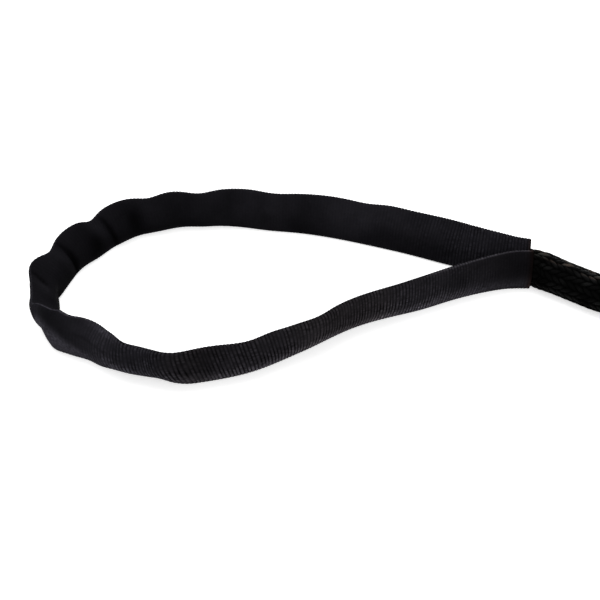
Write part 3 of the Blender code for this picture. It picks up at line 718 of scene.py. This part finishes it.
# Woven nylon webbing: matt, with close ribs across it and fine yarns along it; painted light and shade make
# it paler and darker by place
def webbingMaterial():
    material, tree, shader = newMaterial("wovenNylonWebbing")
    rib, girth = patternPlace(tree)
    arch = addNode(tree, "ShaderNodeMath", {0: rib}, operation="FRACT").outputs[0]
    arch = addNode(tree, "ShaderNodeMath", {0: arch, 1: math.pi}, operation="MULTIPLY").outputs[0]
    arch = addNode(tree, "ShaderNodeMath", {0: arch}, operation="SINE").outputs[0]
    arch = addNode(tree, "ShaderNodeMath", {0: arch, 1: 0.55}, operation="POWER").outputs[0]
    # yarns lie side by side round the girth, half a step over on every other rib
    yarnsEach = 1 / sleeve["yarnStep"]
    whole = addNode(tree, "ShaderNodeMath", {0: rib}, operation="FLOOR").outputs[0]
    odd = addNode(tree, "ShaderNodeMath", {0: whole, 1: 0.5}, operation="MULTIPLY").outputs[0]
    yarn = addNode(tree, "ShaderNodeMath", {0: girth, 1: yarnsEach, 2: odd},
                   operation="MULTIPLY_ADD").outputs[0]
    knuckle = addNode(tree, "ShaderNodeMath", {0: yarn, 1: 0.5}, operation="PINGPONG").outputs[0]
    threads = addNode(tree, "ShaderNodeMath", {0: knuckle, 1: 0.5, 2: 0.75},
                      operation="MULTIPLY_ADD").outputs[0]
    relief = addNode(tree, "ShaderNodeMath", {0: arch, 1: threads}, operation="MULTIPLY").outputs[0]
    # painted shade in the grooves between the ribs, and painted light on their crowns
    crown = addNode(tree, "ShaderNodeMapRange", {0: relief, 1: 0.45, 2: 1.0, 3: 0.05, 4: 2.15}).outputs[0]
    # each yarn's knuckle on a rib has a tone of its own
    cell = addNode(tree, "ShaderNodeMath", {0: girth, 1: yarnsEach}, operation="MULTIPLY").outputs[0]
    cell = addNode(tree, "ShaderNodeMath", {0: cell}, operation="FLOOR").outputs[0]
    cell = addNode(tree, "ShaderNodeCombineXYZ", {0: whole, 1: cell}).outputs[0]
    grain = addNode(tree, "ShaderNodeTexWhiteNoise", {"Vector": cell}, noise_dimensions="2D").outputs[0]
    grain = addNode(tree, "ShaderNodeMapRange", {0: grain, 3: 0.5, 4: 1.5}).outputs[0]
    # strokes: each rib is brighter over a few millimetres of its length
    apart = addNode(tree, "ShaderNodeMath", {0: whole, 1: 7.3}, operation="MULTIPLY").outputs[0]
    long = addNode(tree, "ShaderNodeMath", {0: girth, 1: 0.4}, operation="MULTIPLY").outputs[0]
    stroke = addNode(tree, "ShaderNodeCombineXYZ", {0: apart, 1: long}).outputs[0]
    stroke = addNode(tree, "ShaderNodeTexNoise", {"Vector": stroke, "Scale": 1.0, "Detail": 1.0},
                     noise_dimensions="2D").outputs[0]
    stroke = addNode(tree, "ShaderNodeMapRange", {0: stroke, 1: 0.3, 2: 0.7, 3: 0.7, 4: 1.3}).outputs[0]
    grain = addNode(tree, "ShaderNodeMath", {0: grain, 1: stroke}, operation="MULTIPLY").outputs[0]
    ribbed = addNode(tree, "ShaderNodeMath", {0: crown, 1: grain}, operation="MULTIPLY").outputs[0]
    # the attribute brings the painted light and shade, how plainly the ribs show, the heat-cut ends and the
    # browner cloth
    shadeAndFinish = addNode(tree, "ShaderNodeAttribute", attribute_name="shadeAndFinish")
    browner = shadeAndFinish.outputs["Alpha"]
    shadeAndFinish = addNode(tree, "ShaderNodeSeparateColor", {0: shadeAndFinish.outputs["Color"]})
    tone, show, heat = shadeAndFinish.outputs[0], shadeAndFinish.outputs[1], shadeAndFinish.outputs[2]
    spots = addNode(tree, "ShaderNodeTexCoord").outputs["Object"]
    fading = addNode(tree, "ShaderNodeTexNoise",
                     {"Vector": spots, "Scale": sleeve["fadingScale"], "Detail": 1.0}).outputs[0]
    fading = addNode(tree, "ShaderNodeMapRange", {0: fading, 1: 0.38, 2: 0.62, 3: 0.5, 4: 1.35}).outputs[0]
    plainly = addNode(tree, "ShaderNodeMath", {0: show, 1: fading}, operation="MULTIPLY").outputs[0]
    shade = addNode(tree, "ShaderNodeMix", {0: plainly, 2: 1.0, 3: ribbed}, data_type="FLOAT").outputs[0]
    clouds = addNode(tree, "ShaderNodeTexNoise",
                     {"Vector": spots, "Scale": sleeve["cloudScale"], "Detail": 3.0}).outputs[0]
    clouds = addNode(tree, "ShaderNodeMapRange", {0: clouds, 1: 0.3, 2: 0.7, 3: 0.75, 4: 1.25}).outputs[0]
    blotches = addNode(tree, "ShaderNodeTexNoise",
                       {"Vector": spots, "Scale": sleeve["blotchScale"], "Detail": 2.0}).outputs[0]
    blotches = addNode(tree, "ShaderNodeMapRange",
                       {0: blotches, 1: 0.35, 2: 0.65, 3: 0.68, 4: 1.32}).outputs[0]
    # the blotches show most where the cloth is painted lightest
    paintedPaleness = addNode(tree, "ShaderNodeMapRange", {0: tone, 1: 0.28, 2: 0.5, 3: 0.15, 4: 1.0}).outputs[0]
    blotches = addNode(tree, "ShaderNodeMix", {0: paintedPaleness, 2: 1.0, 3: blotches}, data_type="FLOAT").outputs[0]
    # the last share is there because the attribute holds a quarter of the painted light and shade
    for share in (clouds, blotches, tone, 4.0):
        shade = addNode(tree, "ShaderNodeMath", {0: shade, 1: share}, operation="MULTIPLY").outputs[0]
    patches = addNode(tree, "ShaderNodeTexNoise",
                      {"Vector": spots, "Scale": sleeve["browningScale"], "Detail": 1.0}).outputs[0]
    patches = addNode(tree, "ShaderNodeMapRange", {0: patches, 1: 0.42, 2: 0.6, 3: 0.5, 4: 1.0}).outputs[0]
    patches = addNode(tree, "ShaderNodeMath", {0: patches, 1: browner}, operation="MULTIPLY").outputs[0]
    cool, warm, burnt = (linear(sleeve[name]) for name in ("coolColour", "warmColour", "heatColour"))
    tint = addNode(tree, "ShaderNodeMix", {0: patches, 6: cool, 7: warm}, data_type="RGBA").outputs[2]
    cloth = addNode(tree, "ShaderNodeMix", {0: heat, 6: tint, 7: burnt}, data_type="RGBA").outputs[2]
    colour = addNode(tree, "ShaderNodeVectorMath", {0: cloth, "Scale": shade}, operation="SCALE").outputs[0]
    raised = addNode(tree, "ShaderNodeMath", {0: relief, 1: show}, operation="MULTIPLY").outputs[0]
    bumps = addNode(tree, "ShaderNodeBump", {"Strength": 0.7, "Distance": 0.0003, "Height": raised})
    setInputs(tree, shader, {"Base Color": colour, "Roughness": 0.85, "Specular IOR Level": 0.012,
                             "Sheen Weight": 0.004, "Sheen Roughness": 0.45, "Normal": bumps.outputs[0]})
    return material


def makeSleeve():
    places, route = sleevePlan()
    along, ribs, heights = ribRows(places[-1])
    outer, outerShadeAndFinish = sleeveSkin(along, heights, 0, route, places)
    back = np.linspace(places[-1], 0, round(places[-1] / sleeve["boreStep"]))
    bore, boreShadeAndFinish = sleeveSkin(back, np.zeros(len(back)), sleeve["wall"], route, places)
    points = np.vstack([outer, bore, outer[:1]])
    girth = reachAlong(outer[sleeve["girthRow"]]) * 1000
    rows = np.concatenate([ribs, np.interp(back, along, ribs), [0]])
    uv = np.stack(np.meshgrid(girth, rows)[::-1], 2)
    shadeAndFinish = np.vstack([outerShadeAndFinish, boreShadeAndFinish * np.array(sleeve["boreShadeAndFinish"]), outerShadeAndFinish[:1]])
    piece = rolledSheet("webbingSleeve", points, uv, webbingMaterial(), shadeAndFinish)
    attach(piece, "sleeved_eye")
    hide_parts("webbing_sleeve")
    print("sleeve made,", len(piece.data.polygons), "faces,", round(ribs[-1]), "ribs")
    return places, route


sleevePlaces, sleeveRoute = makeSleeve()

# Eye rope: the same braid, pressed to an oval inside the sleeve
eyeRope = {
    "radius": 0.0076,
    "flat": 0.38,
    "pitchRadius": 0.0078,        # the crossings are spaced as on a rope of this radius
    "relief": 0.6,
    "height": 0.0112,             # its middle above the sleeve's foot
    "endShift": 0.0010,           # both ends come out of the sleeve by this much
}


def makeEyeRope():
    where, crossings, fineCount = crossingRows(
        sleevePlaces[-1], lambda reach: np.full(len(reach), eyeRope["pitchRadius"]), 0)
    x, y, lean, ox, oy = onPlan(where, sleevePlaces, sleeveRoute)
    outward = np.stack([ox, oy, 0 * ox], 1)
    up = outward * np.sin(lean)[:, None] + np.array([0, 0, 1]) * np.cos(lean)[:, None]
    out = outward * np.cos(lean)[:, None] - np.array([0, 0, 1]) * np.sin(lean)[:, None]
    middle = np.stack([x, y, 0 * x], 1) + up * eyeRope["height"]
    middle[:, 2] -= sleeve["edgeCut"]
    middle[[0, -1], 0] += eyeRope["endShift"]
    radius = np.full(len(where), eyeRope["radius"])
    flat = np.full(len(where), eyeRope["flat"])
    piece = braidedTube("eyeRope", middle, crossings, fineCount, radius, out, up, flat, eyeRope["relief"],
                        ropeMaterial)
    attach(piece, "sleeved_eye")
    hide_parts("eye_rope")


makeEyeRope()
print("eye rope made")


# Waxed twine: a hard, dull cord laid in close turns
def twineMaterial():
    material, tree, shader = newMaterial("waxedTwine")
    along, wrap = patternPlace(tree)
    twist = addNode(tree, "ShaderNodeMath", {0: wrap, 1: math.tau * 2}, operation="MULTIPLY").outputs[0]
    lay = addNode(tree, "ShaderNodeMath", {0: along, 1: math.tau, 2: twist},
                  operation="MULTIPLY_ADD").outputs[0]
    ply = addNode(tree, "ShaderNodeMath", {0: lay}, operation="SINE").outputs[0]
    # painted shade: the grooves between the plies are darker, their crowns lighter
    shade = addNode(tree, "ShaderNodeMapRange", {0: ply, 1: -1.0, 2: 1.0}).outputs[0]
    black, grey = linear("#09090a"), linear("#18181a")
    colour = addNode(tree, "ShaderNodeMix", {0: shade, 6: black, 7: grey}, data_type="RGBA").outputs[2]
    bumps = addNode(tree, "ShaderNodeBump", {"Strength": 0.5, "Distance": 0.0002, "Height": ply})
    setInputs(tree, shader, {"Base Color": colour, "Roughness": 0.6, "Specular IOR Level": 0.12,
                             "Normal": bumps.outputs[0]})
    return material


# Close turns of twine as one ribbed band: a ring of places, swept along a short way
def twineBand(name, ring, outwards, along, width, wraps, thickness, material):
    t = np.linspace(0, 1, wraps * 6 + 1)
    crowns = np.sqrt(np.clip(1 - (2 * ((t * wraps) % 1) - 1) ** 2, 0, 1))
    skin = [ring + outwards * thickness * (0.45 + 0.55 * crown) + along * (share - 0.5) * width
            for share, crown in zip(t, crowns)]
    inside = [ring + along * 0.5 * width, ring - along * 0.5 * width]
    points = np.array(skin + inside + skin[:1])
    rows = np.concatenate([t * wraps, [wraps, 0, 0]])
    uv = np.stack(np.meshgrid(reachAlong(ring) * 1000, rows), 2)
    return rolledSheet(name, points, uv, material)


twine = twineMaterial()
whippingSizes = {
    "fromEnd": 0.013,             # its middle
    "width": 0.018,
    "wraps": 17,
    "thickness": 0.0008,
    "slack": 0.0001,
    "ringPoints": 49,
}


def makeTie():
    halfRun = 0.5 / rope["turnRuns"]
    turns = np.array([tie["turn"] + layer + half for layer in (0, 1) for half in (-halfRun, halfRun)])
    corners = coilPlace(turns)
    middle = corners.mean(axis=0)
    along = unit(corners[1] - corners[0])
    across = np.array([along[1], -along[0], 0])
    inner = rope["diameter"] / 2 + tie["slack"] * tie["slackInside"]
    straight = rope["turnStep"] / 2
    ring, outwards = [], []
    for end in (1, -1):
        for angle in np.linspace(0, math.pi, tie["arcPoints"]):
            out = across * math.cos(angle) * end + np.array([0, 0, math.sin(angle) * end])
            outwards.append(out)
            ring.append(middle + out * inner + np.array([0, 0, straight * end]))
    ring.append(ring[0])
    outwards.append(outwards[0])
    piece = twineBand("coilTie", np.array(ring), np.array(outwards), along, tie["width"], tie["wraps"],
                      tie["thickness"], twine)
    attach(piece, "rope_line")
    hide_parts("coil_tie")
    return piece


def makeWhipping():
    heading = unit(centre[-1] - centre[-4])
    across = unit(np.cross(heading, [0, 0, 1]))
    up = np.cross(across, heading)
    middle = centre[-1] - heading * whippingSizes["fromEnd"]
    angle = np.linspace(0, math.tau, whippingSizes["ringPoints"])[:, None]
    outwards = across * np.cos(angle) + up * np.sin(angle)
    ring = middle + outwards * (rope["diameter"] / 2 + whippingSizes["slack"])
    piece = twineBand("endWhipping", ring, outwards, heading, whippingSizes["width"],
                      whippingSizes["wraps"], whippingSizes["thickness"], twine)
    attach(piece, "rope_line")
    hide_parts("end_whipping")
    return piece


coilTie = makeTie()
whipping = makeWhipping()
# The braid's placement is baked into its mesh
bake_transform(braid)
print("tie and whipping made")


# White paper: plain and matt; the camera and mirroring surfaces see it glow at 0.6 of white
def floorMaterial():
    material, tree, shader = newMaterial("whitePaper")
    setInputs(tree, shader, {"Base Color": linear("#f4f4f4"), "Roughness": 0.9, "Specular IOR Level": 0.0})
    path = addNode(tree, "ShaderNodeLightPath").outputs
    seen = addNode(tree, "ShaderNodeMath", {0: path["Is Camera Ray"], 1: path["Is Glossy Ray"]},
                   operation="ADD").outputs[0]
    strength = addNode(tree, "ShaderNodeMath", {0: seen, 1: 0.6}, operation="MULTIPLY").outputs[0]
    glow = addNode(tree, "ShaderNodeEmission", {"Color": (1, 1, 1, 1), "Strength": strength}).outputs[0]
    mixed = addNode(tree, "ShaderNodeAddShader", {0: shader.outputs[0], 1: glow}).outputs[0]
    setInputs(tree, tree.nodes["Material Output"], {"Surface": mixed})
    return material


bpy.ops.object.select_all(action="DESELECT")
bpy.ops.mesh.primitive_plane_add(size=8, location=(0, 0, -0.0001))
floor = bpy.context.object
floor.name = "floor"
floor.data.materials.append(floorMaterial())

# Soft studio light: a wide lamp overhead, a weaker one from the front, and a pale surround
# Name, place, turn in degrees, size in m and power in W
lights = [("overhead", (-0.3, 0.5, 1.6), (-17, -10, 0), 1.6, 17.0),
          ("front", (0.5, -1.6, 1.3), (52, 0, 17), 1.4, 7.0)]
for name, location, degrees, size, power in lights:
    rotation = [math.radians(angle) for angle in degrees]
    bpy.ops.object.light_add(type="AREA", location=location, rotation=rotation)
    lamp = bpy.context.object
    lamp.name = name
    lamp.data.size = size
    lamp.data.energy = power
world = bpy.data.worlds.new("surround")
bpy.context.scene.world = world
world.use_nodes = True
# It lights the object at 0.55 of white, and the camera sees it white
tree = world.node_tree
seen = addNode(tree, "ShaderNodeLightPath").outputs["Is Camera Ray"]
strength = addNode(tree, "ShaderNodeMapRange", {0: seen, 3: 0.55, 4: 1.0}).outputs[0]
setInputs(tree, tree.nodes["Background"], {"Color": (1, 1, 1, 1), "Strength": strength})
bpy.context.scene.view_settings.view_transform = "Standard"
print("stage and lights set")
